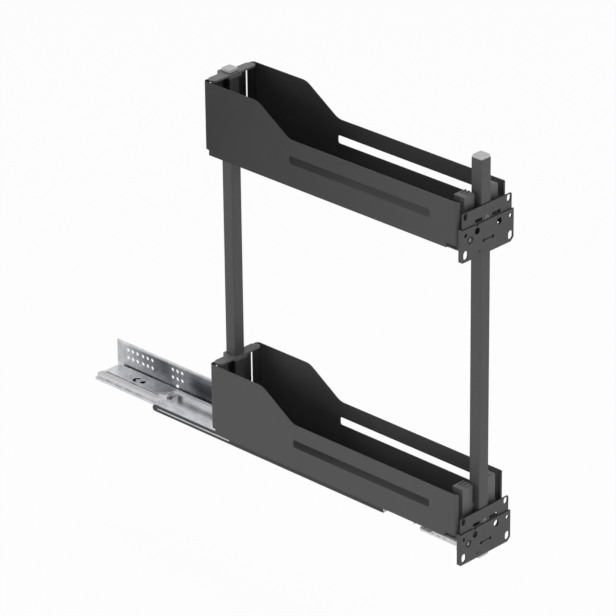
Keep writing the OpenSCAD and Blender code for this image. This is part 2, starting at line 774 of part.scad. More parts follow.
module front_clip() {
    color("lightgray") placed() difference() {
        union() {
            box([clip_x0, clip_y0, clip_low], [clip_x1, clip_y0 + clip_len, -drawer_skirt]);
            box([drawer_x0 + drawer_t + slack, clip_y0 + 14, clip_low], [clip_x1, clip_y0 + 74,
                -drawer_t - slack]);
        }
        rod_z(lever_pin_r + fit, lever_pin_x, lever_pin_y, clip_low - 1, clip_low + 5.2);
        // ribs seen on the near face
        for (i = [0 : 4]) box([clip_x0 - 1, clip_y0 + 24 + i * 11, clip_low + 1.6],
                              [clip_x0 + 1.5, clip_y0 + 30 + i * 11, -drawer_skirt - 1.2]);
        // sloped rear end
        translate([clip_x0 - 1, clip_y0 + clip_len, clip_low + 3]) rotate([-38, 0, 0])
            translate([0, -30, -20]) cube([clip_x1 - clip_x0 + 2, 60, 20]);
    }
}

// Lever under the clip, with a knob at its front end
module release_lever() {
    knob_y0 = 2;
    color("lightgray") placed() difference() {
        union() {
            box([lever_pin_x - 5, knob_y0 + 8, lever_top - lever_t], [lever_pin_x + 5, lever_pin_y,
                lever_top]);
            rod_z(5, lever_pin_x, lever_pin_y, lever_top - lever_t, lever_top);
            box([clip_x0 - 2, knob_y0, lever_top - lever_t - knob_drop + 1],
                [lever_pin_x + 4, knob_y0 + 12, lever_top + 0.01]);
            rod_x(knob_drop / 2 + 1, clip_x0 - 2, lever_pin_x + 4, knob_y0 + 12, lever_top - lever_t);
        }
        rod_z(lever_pin_r + fit, lever_pin_x, lever_pin_y, lever_top - 10, lever_top + 1);
        for (i = [0 : 2]) box([clip_x0 - 3, knob_y0 + 2.5 + i * 3, lever_top - 20],
                              [lever_pin_x + 5, knob_y0 + 3.7 + i * 3, lever_top - lever_t - knob_drop + 2]);
    }
}

module lever_pin() {
    color("silver") placed() {
        rod_z(lever_pin_r, lever_pin_x, lever_pin_y, lever_top - lever_t - 0.2, clip_low + 5);
        rod_z(lever_pin_r * 1.8, lever_pin_x, lever_pin_y, lever_top - lever_t - 1.6,
            lever_top - lever_t - 0.1);
    }
}

// Square tube post
module post(y, z0, z1) {
    difference() {
        square_bar(post_w, post_edge_r, z0, z1, 0, y);
        square_bar(post_w - 2 * post_wall, post_edge_r / 2, z0 - 1, z1 + 1, 0, y);
    }
}

module front_post() {
    color([0.26, 0.26, 0.27]) placed() difference() {
        post(front_post_y, -front_post_drop, front_post_top);
        for (mid = [lower_plate_z, upper_mid], dz = plate_screw_zs)
            rod_y(post_screw_r + fit, 0, post_front - 1, post_front + 5, mid + dz);
        for (z = bracket_screws) rod_y(post_screw_r + fit, bracket_x0 + 7, post_back - 5, post_back + 1, z);
    }
}

module rear_post() {
    color([0.26, 0.26, 0.27]) placed() post(rear_post_y, 0, rear_post_top);
}

// Plastic plug with a square head, for the open end of a post
module end_cap(y, z, h, head_w, plug, up) {
    inner = post_w - 2 * post_wall - 2 * slack;
    translate([0, y, z]) mirror([0, 0, up ? 0 : 1]) difference() {
        union() {
            square_bar(head_w, post_edge_r, 0, h - 1, 0, 0);
            square_bar(head_w - 1.6, post_edge_r, 0, h, 0, 0);
            square_bar(inner, post_edge_r / 2, -plug, 1, 0, 0);
        }
        box([-inner / 2 + 2, -inner / 2 + 2, -plug - 1], [inner / 2 - 2, inner / 2 - 2, -2]);
    }
}

module front_post_cap() {
    color("darkgray") placed() end_cap(front_post_y, front_post_top, cap_h, post_w - 1, cap_plug, true);
}

module rear_post_cap() {
    color("darkgray") placed() end_cap(rear_post_y, rear_post_top, cap_h, post_w - 1.5, cap_plug, true);
}

module front_post_foot() {
    color("dimgray") placed() end_cap(front_post_y, -front_post_drop, 4, post_w + 1.5, foot_plug, false);
}

// Threaded plug in the foot of the rear post
module rear_post_plug() {
    inner = post_w - 2 * post_wall - 2 * slack;
    color("silver") placed() difference() {
        square_bar(inner, post_edge_r / 2, 0, 24, 0, rear_post_y);
        rod_z(post_screw_r + fit, 0, rear_post_y, -1, 22);
    }
}

module rear_post_screw() {
    color("silver") placed() difference() {
        union() {
            rod_z(post_screw_r, 0, rear_post_y, -drawer_t - 1, 20);
            rod_z(post_screw_r * 1.8, 0, rear_post_y, -drawer_t - 3.6, -drawer_t);
        }
        translate([0, rear_post_y, -drawer_t - 5]) cylinder(r = 1.9, h = 3.4, $fn = 6);
    }
}

module lower_basket() {
    color([0.3, 0.3, 0.31]) placed() basket(0);
}

module upper_basket() {
    color([0.3, 0.3, 0.31]) placed() basket(upper_z);
}

// Pan-head screws that hold the lower basket on the drawer profile
module lower_basket_screws() {
    color("silver") placed() for (p = floor_screws) difference() {
        union() {
            rod_z(floor_screw_r, p[0], p[1], -drawer_t - 4, sheet_t + 1);
            rod_z(floor_screw_r * 2, p[0], p[1], sheet_t, sheet_t + 2);
        }
        translate([p[0], p[1], sheet_t + 1]) cylinder(r = 1.5, h = 3, $fn = 6);
    }
}

module lower_rear_clamp() {
    color([0.42, 0.42, 0.43]) placed() rear_clamp(0);
}

module upper_rear_clamp() {
    color([0.42, 0.42, 0.43]) placed() rear_clamp(upper_z);
}

module lower_set_screw() {
    color("silver") placed() set_screw(0);
}

module upper_set_screw() {
    color("silver") placed() set_screw(upper_z);
}

module lower_near_clamp() {
    color([0.3, 0.3, 0.3]) placed() front_clamp(-1, 0);
}

module lower_far_clamp() {
    color([0.3, 0.3, 0.3]) placed() front_clamp(1, 0);
}

module upper_near_clamp() {
    color([0.3, 0.3, 0.3]) placed() front_clamp(-1, upper_z);
}

module upper_far_clamp() {
    color([0.3, 0.3, 0.3]) placed() front_clamp(1, upper_z);
}

module lower_clamp_bolt() {
    color("silver") placed() clamp_bolt(0);
}

module upper_clamp_bolt() {
    color("silver") placed() clamp_bolt(upper_z);
}

module lower_clamp_nut() {
    color("silver") placed() clamp_nut(0);
}

module upper_clamp_nut() {
    color("silver") placed() clamp_nut(upper_z);
}

// Plate screwed to the front post; mid is the height of the door plate's middle
module post_plate(mid) {
    w = post_plate_w / 2;
    y0 = plate_front;
    y1 = post_front;
    difference() {
        union() {
            box([-w, y0, mid + 23], [w, y1, mid + post_plate_top]);
            box([-post_plate_low, y0, mid - 23], [post_plate_low, y1, mid + 24]);
        }
        for (s = [-1, 1]) {
            slot_y(s * ear_at[0], mid + ear_at[1], ear_slot[0], ear_slot[1], y0 - 1, y1 + 1);
            rod_y(big_hole_r + 1, s * big_hole[0], y0 - 1, y1 + 1, mid + big_hole[1]);
            // cut corners at the upper ends
            translate([s * w, y0 - 1, mid + post_plate_top]) rotate([0, 45, 0])
                translate([-1, 0, -1]) cube([2, plate_t + 2, 2]);
        }
        box([-24, y0 - 1, mid + 25.5], [-10, y1 + 1, mid + 30.5]);
        box([10, y0 - 1, mid + 25.5], [27, y1 + 1, mid + 30.5]);
        // slot for the cam's pin, and slot for the lock screw
        slot_y(cam_at[0] + cam_throw - 0.4, mid + cam_at[1], 2 * cam_pin_r + 2.2,
            2 * (cam_pin_r + cam_pin_slack),
            y0 - 1, y1 + 1);
        slot_y(lock_at[0], mid + lock_at[1], 2 * lock_r + 0.6, 2 * (lock_r + plate_lift) + 0.6, y0 - 1,
            y1 + 1);
        for (dz = plate_screw_zs) {
            rod_y(post_screw_r + fit, 0, y0 - 1, y1 + 1, mid + dz);
            translate([0, y0 - 0.01, mid + dz]) rotate([-90, 0, 0])
                cylinder(r1 = post_screw_r + 1.75, r2 = post_screw_r, h = 1.7);
        }
    }
}

// Countersunk screws that hold the post plate
module plate_screws(mid) {
    for (dz = plate_screw_zs) difference() {
        union() {
            rod_y(post_screw_r - fit, 0, plate_front + 0.3, post_front + post_wall + 3, mid + dz);
            translate([0, plate_front, mid + dz]) rotate([-90, 0, 0])
                cylinder(r1 = post_screw_r + 1.6, r2 = post_screw_r - 0.1, h = 1.65);
        }
        translate([0, plate_front - 1, mid + dz]) rotate([-90, 0, 0]) cylinder(r = 1.5, h = 2.4, $fn = 6);
    }
}

// Perforated plate that the door is screwed to, with one folded edge
module door_plate(mid) {
    w = door_plate_w / 2;
    h = door_plate_h / 2;
    y0 = door_front;
    y1 = door_back;
    difference() {
        union() {
            box([-w, y0, mid - h], [w, y1, mid + h]);
            box([-w - 0.01, y0, mid - h], [-w + plate_t / 2 + 0.4, y0 + door_fold_d, mid + h]);
        }
        for (s = [-1, 1]) {
            rod_y(big_hole_r, s * big_hole[0], y0 - 1, y1 + 1, mid + big_hole[1]);
            rod_y(door_hole_r, s * door_hole_pitch / 2, y0 - 1, y1 + 1, mid + door_hole_z);
            slot_y(s * fix_slot[0], mid + fix_slot[1], fix_slot_size[0], fix_slot_size[1], y0 - 1, y1 + 1);
            rod_y(2.4, s * 9.2, y0 - 1, y1 + 1, mid - 3.5);
        }
        box([-9.2, y0 - 1, mid - 4.2], [9.2, y1 + 1, mid - 2.8]);
        rod_y(cam_r + fit, cam_at[0], y0 - 1, y1 + 1, mid + cam_at[1]);
        rod_y(lock_r + fit, lock_at[0], y0 - 1, y1 + 1, mid + lock_at[1]);
        translate([lock_at[0], y0 - 0.01, mid + lock_at[1]]) rotate([-90, 0, 0])
            cylinder(r1 = lock_r + lock_head + fit, r2 = lock_r, h = lock_head);
        // notch above the hole on the near side, and the cut lower corner on the far side
        rod_y(3, -big_hole[0], y0 - 1, y1 + 1, mid + h + 0.5);
        translate([w, y0 - 1, mid - h]) rotate([0, 45, 0]) translate([-4, 0, -4]) cube([8, plate_t + 2, 8]);
    }
}

// Cam that lifts the door plate: a disc in the door plate and a pin in the post plate's slot
module height_cam(mid) {
    z = mid + cam_at[1];
    difference() {
        union() {
            rod_y(cam_r, cam_at[0], door_front + 0.1, door_back, z);
            rod_y(cam_pin_r, cam_at[0] + cam_throw, door_back - 1, post_front, z);
        }
        box([cam_at[0] - 3, door_front - 1, z - 0.8], [cam_at[0] + 3, door_front + 1.1, z + 0.8]);
        difference() {
            rod_y(cam_r - 0.9, cam_at[0], door_front - 1, door_front + 1, z);
            rod_y(cam_r - 2.3, cam_at[0], door_front - 2, door_front + 2, z);
        }
    }
}

// Screw and nut that lock the door plate at its height
module lock_screw(mid) {
    z = mid + lock_at[1];
    difference() {
        union() {
            rod_y(lock_r, lock_at[0], door_front + 0.5, post_front + 3.4, z);
            translate([lock_at[0], door_front + 0.05, z]) rotate([-90, 0, 0])
                cylinder(r1 = lock_r + lock_head - 0.1, r2 = lock_r - 0.1, h = lock_head);
        }
        translate([lock_at[0], door_front - 1, z]) rotate([-90, 0, 0]) cylinder(r = 1.1, h = 2.2, $fn = 6);
    }
}

module lock_nut(mid) {
    difference() {
        translate([lock_at[0], post_front + 0.1, mid + lock_at[1]]) rotate([-90, 0, 0])
            cylinder(r = lock_r * 2, h = 2.4, $fn = 6);
        rod_y(lock_r + fit, lock_at[0], post_front - 1, post_front + 9, mid + lock_at[1]);
    }
}

module lower_post_plate() {
    color([0.3, 0.3, 0.31]) placed() post_plate(lower_plate_z);
}

module upper_post_plate() {
    color([0.3, 0.3, 0.31]) placed() post_plate(upper_mid);
}

module lower_plate_screws() {
    color("silver") placed() plate_screws(lower_plate_z);
}

module upper_plate_screws() {
    color("silver") placed() plate_screws(upper_mid);
}

module lower_door_plate() {
    color([0.34, 0.34, 0.35]) placed() door_plate(lower_plate_z);
}

module upper_door_plate() {
    color([0.34, 0.34, 0.35]) placed() door_plate(upper_mid);
}

module lower_height_cam() {
    color("gray") placed() height_cam(lower_plate_z);
}

module upper_height_cam() {
    color("gray") placed() height_cam(upper_mid);
}

module lower_lock_screw() {
    color("dimgray") placed() lock_screw(lower_plate_z);
}

module upper_lock_screw() {
    color("dimgray") placed() lock_screw(upper_mid);
}

module lower_lock_nut() {
    color("silver") placed() lock_nut(lower_plate_z);
}

module upper_lock_nut() {
    color("silver") placed() lock_nut(upper_mid);
}

// Moves a piece into the part's own frame
module placed() {
    translate(-origin) children();
}

cabinet_profile();
cabinet_rear_stop();
middle_profile();
middle_side_strip();
middle_stop();
middle_stop_rivet();
lower_glide();
upper_glide();
lower_roller_cage();
lower_roller(0);  // lower_roller_1
lower_roller(1);  // lower_roller_2
lower_roller(2);  // lower_roller_3
upper_roller_cage();
upper_roller(0);  // upper_roller_1
upper_roller(1);  // upper_roller_2
upper_roller(2);  // upper_roller_3
drawer_profile();
front_clip();
release_lever();
lever_pin();
front_post_bracket();
front_post_screws();
drawer_rivets();
front_post();
rear_post();
front_post_cap();
rear_post_cap();
front_post_foot();
rear_post_plug();
rear_post_screw();
lower_basket();
lower_basket_screws();
lower_rear_clamp();
lower_set_screw();
lower_near_clamp();
lower_far_clamp();
lower_clamp_bolt();
lower_clamp_nut();
upper_basket();
upper_rear_clamp();
upper_set_screw();
upper_near_clamp();
upper_far_clamp();
upper_clamp_bolt();
upper_clamp_nut();
lower_post_plate();
lower_plate_screws();
lower_door_plate();
lower_height_cam();
lower_lock_screw();
lower_lock_nut();
upper_post_plate();
upper_plate_screws();
upper_door_plate();
upper_height_cam();
upper_lock_screw();
upper_lock_nut();
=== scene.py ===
import bpy
import math
import numpy as np
from mathutils import Matrix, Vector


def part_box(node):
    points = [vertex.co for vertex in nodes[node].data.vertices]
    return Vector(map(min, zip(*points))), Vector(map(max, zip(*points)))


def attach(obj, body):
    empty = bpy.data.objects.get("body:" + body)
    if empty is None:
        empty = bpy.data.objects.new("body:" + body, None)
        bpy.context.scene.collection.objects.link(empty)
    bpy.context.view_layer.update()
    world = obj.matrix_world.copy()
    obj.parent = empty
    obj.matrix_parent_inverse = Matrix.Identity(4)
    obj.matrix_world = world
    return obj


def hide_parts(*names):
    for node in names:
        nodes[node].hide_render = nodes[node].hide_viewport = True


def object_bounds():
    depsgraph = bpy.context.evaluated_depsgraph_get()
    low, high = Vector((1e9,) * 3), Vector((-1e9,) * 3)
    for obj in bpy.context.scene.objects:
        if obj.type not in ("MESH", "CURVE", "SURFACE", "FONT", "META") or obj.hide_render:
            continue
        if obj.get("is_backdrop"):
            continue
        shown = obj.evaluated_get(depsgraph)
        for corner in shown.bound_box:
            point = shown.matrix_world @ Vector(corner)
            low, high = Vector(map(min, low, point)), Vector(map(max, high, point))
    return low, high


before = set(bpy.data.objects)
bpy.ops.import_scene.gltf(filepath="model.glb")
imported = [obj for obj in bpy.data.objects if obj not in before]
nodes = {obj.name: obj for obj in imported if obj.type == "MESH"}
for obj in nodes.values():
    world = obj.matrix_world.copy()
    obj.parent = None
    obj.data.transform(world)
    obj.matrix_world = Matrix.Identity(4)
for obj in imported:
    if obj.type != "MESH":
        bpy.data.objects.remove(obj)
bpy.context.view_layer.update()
print("frame loaded:", len(nodes), "nodes")

tiers = ("lower", "upper")


def boxOf(*names):
    # lowest and highest corner of the box round the named nodes, in metres
    corners = np.array([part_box(name) for name in names])
    return corners[:, 0].min(0), corners[:, 1].max(0)


basketLow, basketHigh = boxOf("lower_basket")
# rack coordinates start at the lower basket: its middle across, its front, the underside of its floor
rackOrigin = np.array([(basketLow[0] + basketHigh[0]) / 2, basketLow[1], basketLow[2]])


def placeInFrame(point):
    # point in the frame (m) = point in rack coordinates (mm) / 1000 + rack origin
    return np.asarray(point, float) / 1000 + rackOrigin


def newGroup(name, inputs, outputs):
    # empty shader node group; inputs are {label: starting value}, where a vector's value is a tuple
    tree = bpy.data.node_groups.new(name, "ShaderNodeTree")
    for label, value in inputs.items():
        kind = "NodeSocketVector" if isinstance(value, tuple) else "NodeSocketFloat"
        tree.interface.new_socket(label, in_out="INPUT", socket_type=kind).default_value = value
    for label in outputs:
        kind = "NodeSocketVector" if label == "Normal" else "NodeSocketFloat"
        tree.interface.new_socket(label, in_out="OUTPUT", socket_type=kind)
    return tree, tree.nodes.new("NodeGroupInput").outputs, tree.nodes.new("NodeGroupOutput").inputs


def addNode(tree, kind, inputs=None, **settings):
    # one node; each input is the output socket of another node, which gets linked, or a plain value
    node = tree.nodes.new(kind)
    for name, value in settings.items():
        setattr(node, name, value)
    for label, source in (inputs or {}).items():
        if isinstance(source, bpy.types.NodeSocket):
            tree.links.new(source, node.inputs[label])
        else:
            node.inputs[label].default_value = source
    return node


def calc(tree, operation, a, b=None, kind="ShaderNodeMath", **settings):
    # a and b combined by the operation; gives the socket of the result
    inputs = {0: a} if b is None else {0: a, 1: b}
    node = addNode(tree, kind, inputs, operation=operation, **settings)
    return [socket for socket in node.outputs if not socket.is_unavailable][0]


def vectorCalc(tree, operation, a, b=None):
    # the same with vectors
    return calc(tree, operation, a, b, "ShaderNodeVectorMath")


def objectPoint(tree):
    # the place in the frame, in metres, because every piece sits at the origin
    return addNode(tree, "ShaderNodeTexCoord").outputs["Object"]


def noiseOf(tree, vector, scale, detail):
    # noise between 0 and 1, with scale in waves to the metre
    inputs = {"Vector": vector, "Scale": scale, "Detail": detail}
    return addNode(tree, "ShaderNodeTexNoise", inputs).outputs["Fac"]


def ramp(tree, source, span, result):
    # result[0] up to span[0], result[1] from span[1] on, and a straight line between
    inputs = {"Value": source, "From Min": span[0], "From Max": span[1]}
    inputs.update({"To Min": result[0], "To Max": result[1]})
    return addNode(tree, "ShaderNodeMapRange", inputs).outputs["Result"]


def mixOf(tree, factor, first, second):
    # first where the factor is 0, second where it is 1
    inputs = {"Factor": factor, "A": first, "B": second}
    return addNode(tree, "ShaderNodeMix", inputs, data_type="RGBA").outputs["Result"]


# noise patterns, scale in waves to the metre
pattern = {
    "fine": {"scale": 2600, "detail": 2},       # orange peel
    "coarse": {"scale": 520, "detail": 1},
    "wide": {"scale": 16, "detail": 3},         # uneven coat and dust
    "chips": {"scale": 180, "detail": 4},       # breaks up the wear and painted highlight along edges
    "streaks": {"scale": 1, "detail": 3},       # its waves are those of the stretched coordinates
    "cloud": {"scale": 55, "detail": 4},        # passivation of the zinc
    "patches": {"scale": 14, "detail": 3},      # breaks up a place of painted shade
}
mostNoise = (0.3, 0.7)      # nearly all values of a noise lie between these
midNoise = (0.35, 0.65)     # closer, for patches with more contrast
turnedSpan = (0.5, 0.7)     # part of a normal along an axis, from a face across that axis to one along it
edgeFade = 0.0002           # a shaded place ends over this length, m


def powderGrainGroup():
    # Height = fine noise * Fine + coarse noise * Coarse; Shade = 1 + (wide noise - 0.5) * Mottle;
    # Dust = wide noise
    tree, given, out = newGroup("powderGrain", {"Fine": 0.6, "Coarse": 0.4, "Mottle": 0.15},
                                ["Height", "Shade", "Dust"])
    point = objectPoint(tree)
    fine = calc(tree, "MULTIPLY", noiseOf(tree, point, **pattern["fine"]), given["Fine"])
    coarse = calc(tree, "MULTIPLY", noiseOf(tree, point, **pattern["coarse"]), given["Coarse"])
    wide = noiseOf(tree, point, **pattern["wide"])
    uneven = calc(tree, "MULTIPLY", calc(tree, "SUBTRACT", wide, 0.5), given["Mottle"])
    tree.links.new(calc(tree, "ADD", fine, coarse), out["Height"])
    tree.links.new(calc(tree, "ADD", uneven, 1), out["Shade"])
    tree.links.new(wide, out["Dust"])
    return tree


def edgeWearAndHighlightGroup():
    # Normal = normal rounded over Radius; Mask of edge wear and painted edge highlight = (1 - rounded
    # normal . true normal) * Strength * noise
    tree, given, out = newGroup("edgeWearAndHighlight", {"Radius": 0.0006, "Strength": 1.5}, ["Mask", "Normal"])
    rounded = addNode(tree, "ShaderNodeBevel", {"Radius": given["Radius"]}, samples=4).outputs["Normal"]
    flat = addNode(tree, "ShaderNodeNewGeometry").outputs["Normal"]
    away = calc(tree, "SUBTRACT", 1, vectorCalc(tree, "DOT_PRODUCT", rounded, flat))
    strong = calc(tree, "MULTIPLY", away, given["Strength"])
    chips = noiseOf(tree, objectPoint(tree), **pattern["chips"])
    tree.links.new(calc(tree, "MULTIPLY", strong, chips, use_clamp=True), out["Mask"])
    tree.links.new(rounded, out["Normal"])
    return tree


def rollMarksGroup():
    # Streaks = noise over (x * Across, y * Along, z * Across), the long fine lines of the rolling mill;
    # Cloud = cloud noise
    tree, given, out = newGroup("rollMarks", {"Across": 900, "Along": 12}, ["Streaks", "Cloud"])
    point = objectPoint(tree)
    inputs = {"X": given["Across"], "Y": given["Along"], "Z": given["Across"]}
    stretch = addNode(tree, "ShaderNodeCombineXYZ", inputs).outputs[0]
    stretched = vectorCalc(tree, "MULTIPLY", point, stretch)
    tree.links.new(noiseOf(tree, stretched, **pattern["streaks"]), out["Streaks"])
    tree.links.new(noiseOf(tree, point, **pattern["cloud"]), out["Cloud"])
    return tree


def paintedShadePlaceGroup():
    # Mask of a place of painted shade = 1 from Bottom to Top along Z and gone at Under and Over,
    # * a line along Y from 1 at Full to a quarter at Faint, * patchy noise between Least and Most
    tree, given, out = newGroup("paintedShadePlace", {
        "Under": -0.001, "Bottom": 0, "Top": 1, "Over": 1.001,
        "Full": 0, "Faint": 1, "Least": 0.65, "Most": 1,
    }, ["Mask"])
    point = objectPoint(tree)
    at = addNode(tree, "ShaderNodeSeparateXYZ", {0: point}).outputs
    mask = ramp(tree, at["Z"], (given["Under"], given["Bottom"]), (0, 1))
    patches = noiseOf(tree, point, **pattern["patches"])
    for part in (ramp(tree, at["Z"], (given["Top"], given["Over"]), (1, 0)),
                 ramp(tree, at["Y"], (given["Full"], given["Faint"]), (1, 0.25)),
                 ramp(tree, patches, midNoise, (given["Least"], given["Most"]))):
        mask = calc(tree, "MULTIPLY", mask, part)
    tree.links.new(mask, out["Mask"])
    return tree


def shadedFacesGroup():
    # Mask = 1 between Lowest and Highest, * 1 on faces whose normal lies along Facing where Turned is 1,
    # or across it where Turned is 0
    tree, given, out = newGroup("shadedFaces", {
        "Lowest": (-1, -1, -1), "Highest": (1, 1, 1), "Facing": (0, 0, 1), "Turned": 1,
    }, ["Mask"])
    coord = addNode(tree, "ShaderNodeTexCoord").outputs
    along = calc(tree, "ABSOLUTE", vectorCalc(tree, "DOT_PRODUCT", coord["Normal"], given["Facing"]))
    mask = ramp(tree, along, turnedSpan, (calc(tree, "SUBTRACT", 1, given["Turned"]), given["Turned"]))
    at = addNode(tree, "ShaderNodeSeparateXYZ", {0: coord["Object"]}).outputs
    lowest = addNode(tree, "ShaderNodeSeparateXYZ", {0: given["Lowest"]}).outputs
    highest = addNode(tree, "ShaderNodeSeparateXYZ", {0: given["Highest"]}).outputs
    for axis in "XYZ":
        start = (calc(tree, "SUBTRACT", lowest[axis], edgeFade), lowest[axis])
        end = (highest[axis], calc(tree, "ADD", highest[axis], edgeFade))
        for part in (ramp(tree, at[axis], start, (0, 1)), ramp(tree, at[axis], end, (1, 0))):
            mask = calc(tree, "MULTIPLY", mask, part)
    tree.links.new(mask, out["Mask"])
    return tree


def ringGroup():
    # Mask = 1 beyond the distance Inner from the line through Centre along Y
    tree, given, out = newGroup("ring", {"Centre": (0, 0, 0), "Inner": 0.001}, ["Mask"])
    away = vectorCalc(tree, "SUBTRACT", objectPoint(tree), given["Centre"])
    radius = vectorCalc(tree, "LENGTH", vectorCalc(tree, "MULTIPLY", away, (1, 0, 1)))
    start = calc(tree, "SUBTRACT", given["Inner"], edgeFade)
    tree.links.new(ramp(tree, radius, (start, given["Inner"]), (0, 1)), out["Mask"])
    return tree


powderGrain = powderGrainGroup()
edgeWearAndHighlight = edgeWearAndHighlightGroup()
rollMarks = rollMarksGroup()
paintedShadePlace = paintedShadePlaceGroup()
shadedFaces = shadedFacesGroup()
ring = ringGroup()
print("node groups built")


def useGroup(tree, group, values):
    # the group as one node of a material, with its values set
    node = tree.nodes.new("ShaderNodeGroup")
    node.node_tree = group
    for label, value in values.items():
        node.inputs[label].default_value = value
    return node.outputs


def startMaterial(name):
    # new material, its node tree and the inputs of its Principled BSDF
    mat = bpy.data.materials.new(name)
    mat.use_nodes = True
    return mat, mat.node_tree, mat.node_tree.nodes["Principled BSDF"].inputs


def addBump(tree, shader, height, normal, strength, distance):
    # surface normal = normal tilted by the slope of height * distance (m) * strength
    inputs = {"Height": height, "Normal": normal, "Strength": strength, "Distance": distance}
    tree.links.new(addNode(tree, "ShaderNodeBump", inputs).outputs["Normal"], shader["Normal"])


def grainedSkin(name, values):
    # base colour = color * Shade, mixed with edge by the mask of wear and painted highlight on edges;
    # roughness = rough +- spread by Dust; bump by Height
    mat, tree, shader = startMaterial(name)
    grain = useGroup(tree, powderGrain, values["grain"])
    wearAndHighlight = useGroup(tree, edgeWearAndHighlight, values["wearAndHighlight"])
    shaded = vectorCalc(tree, "MULTIPLY", grain["Shade"], values["color"])
    tree.links.new(mixOf(tree, wearAndHighlight["Mask"], shaded, (*values["edge"], 1)), shader["Base Color"])
    shader["Specular IOR Level"].default_value = values["shine"]
    span = (values["rough"] - values["spread"], values["rough"] + values["spread"])
    tree.links.new(ramp(tree, grain["Dust"], mostNoise, span), shader["Roughness"])
    addBump(tree, shader, grain["Height"], wearAndHighlight["Normal"], values["bump"], values["depth"])
    return mat


def zincCoat(name, values):
    # base colour = color to tint by Cloud, mixed with edge by the mask of wear and painted highlight on
    # edges;
    # metallic = 1; roughness = rough + spread[0] to rough + spread[1] by Streaks; bump by Streaks
    mat, tree, shader = startMaterial(name)
    marks = useGroup(tree, rollMarks, {})
    wearAndHighlight = useGroup(tree, edgeWearAndHighlight, values["wearAndHighlight"])
    cloud = ramp(tree, marks["Cloud"], midNoise, (0, 1))
    clouded = mixOf(tree, cloud, (*values["color"], 1), (*values["tint"], 1))
    tree.links.new(mixOf(tree, wearAndHighlight["Mask"], clouded, (*values["edge"], 1)), shader["Base Color"])
    shader["Metallic"].default_value = 1
    span = [values["rough"] + change for change in values["spread"]]
    tree.links.new(ramp(tree, marks["Streaks"], mostNoise, span), shader["Roughness"])
    addBump(tree, shader, marks["Streaks"], wearAndHighlight["Normal"], values["bump"], values["depth"])
    return mat


def layOver(mat, group, values, color, hidesMetal):
    # base colour = what it was, mixed with color by the group's Mask; where the layer hides metal,
    # metallic = 1 - Mask
    tree = mat.node_tree
    shader = tree.nodes["Principled BSDF"].inputs
    mask = useGroup(tree, group, values)["Mask"]
    before = shader["Base Color"].links[0].from_socket
    tree.links.new(mixOf(tree, mask, before, (*color, 1)), shader["Base Color"])
    if hidesMetal:
        tree.links.new(calc(tree, "SUBTRACT", 1, mask), shader["Metallic"])


def wornAndHighlighted(radius, strength):
    # how wide (m) and how strong the wear and painted highlight along edges are
    return {"Radius": radius, "Strength": strength}


# powder coat: colour, colour of worn and highlighted edges, roughness, level of reflection, grain,
# strength of bump, wear and painted highlight on edges
powderValues = {
    "basketCoat": {
        "color": (0.092, 0.092, 0.094), "edge": (0.3, 0.3, 0.305), "rough": 0.62, "shine": 0.2,
        "grain": {"Fine": 0.6, "Coarse": 0.5, "Mottle": 0.12}, "bump": 0.28, "wearAndHighlight": wornAndHighlighted(0.0007, 1.2),
    },
    "postCoat": {
        "color": (0.063, 0.063, 0.065), "edge": (0.15, 0.15, 0.155), "rough": 0.5, "shine": 0.4,
        "grain": {"Fine": 0.4, "Coarse": 0.3, "Mottle": 0.1}, "bump": 0.2, "wearAndHighlight": wornAndHighlighted(0.0006, 1.2),
    },
    "plateCoat": {
        "color": (0.059, 0.059, 0.061), "edge": (0.17, 0.17, 0.175), "rough": 0.5, "shine": 0.35,
        "grain": {"Fine": 0.6, "Coarse": 0.4, "Mottle": 0.14}, "bump": 0.24, "wearAndHighlight": wornAndHighlighted(0.0005, 1.6),
    },
}
# of all powder coats: spread of the roughness, depth of the bump in metres
powderSkin = {"spread": 0.05, "depth": 0.00012}

# moulded plastic: colour, colour of worn and highlighted edges, roughness, wear and painted highlight on
# edges
plasticValues = {
    "lockBlack": ((0.02, 0.02, 0.021), (0.05, 0.05, 0.05), 0.45, wornAndHighlighted(0.0002, 0.5)),
    "capPlastic": ((0.56, 0.565, 0.57), (0.66, 0.66, 0.67), 0.42, wornAndHighlighted(0.0005, 1)),
    "barPlastic": ((0.15, 0.15, 0.152), (0.23, 0.23, 0.235), 0.5, wornAndHighlighted(0.0006, 1)),
    "blockPlastic": ((0.1, 0.101, 0.103), (0.17, 0.17, 0.175), 0.5, wornAndHighlighted(0.0006, 1)),
    "clipPlastic": ((0.8, 0.8, 0.805), (0.82, 0.82, 0.82), 0.45, wornAndHighlighted(0.0005, 1)),
    "railPlastic": ((0.72, 0.72, 0.73), (0.78, 0.78, 0.79), 0.4, wornAndHighlighted(0.0005, 1)),
    "rollerPlastic": ((0.7, 0.69, 0.64), (0.78, 0.78, 0.74), 0.35, wornAndHighlighted(0.0003, 1)),
    "cagePlastic": ((0.09, 0.09, 0.094), (0.15, 0.15, 0.15), 0.5, wornAndHighlighted(0.0003, 1)),
    # near-black strip standing in for the shade along the middle profile's near side
    "shadeStripPlastic": ((0.014, 0.015, 0.017), (0.05, 0.05, 0.05), 0.4, wornAndHighlighted(0.0003, 1)),
}
plasticSkin = {
    "spread": 0.04, "shine": 0.5, "bump": 0.16, "depth": 0.00008,
    "grain": {"Fine": 0.8, "Coarse": 0.2, "Mottle": 0.12},
}

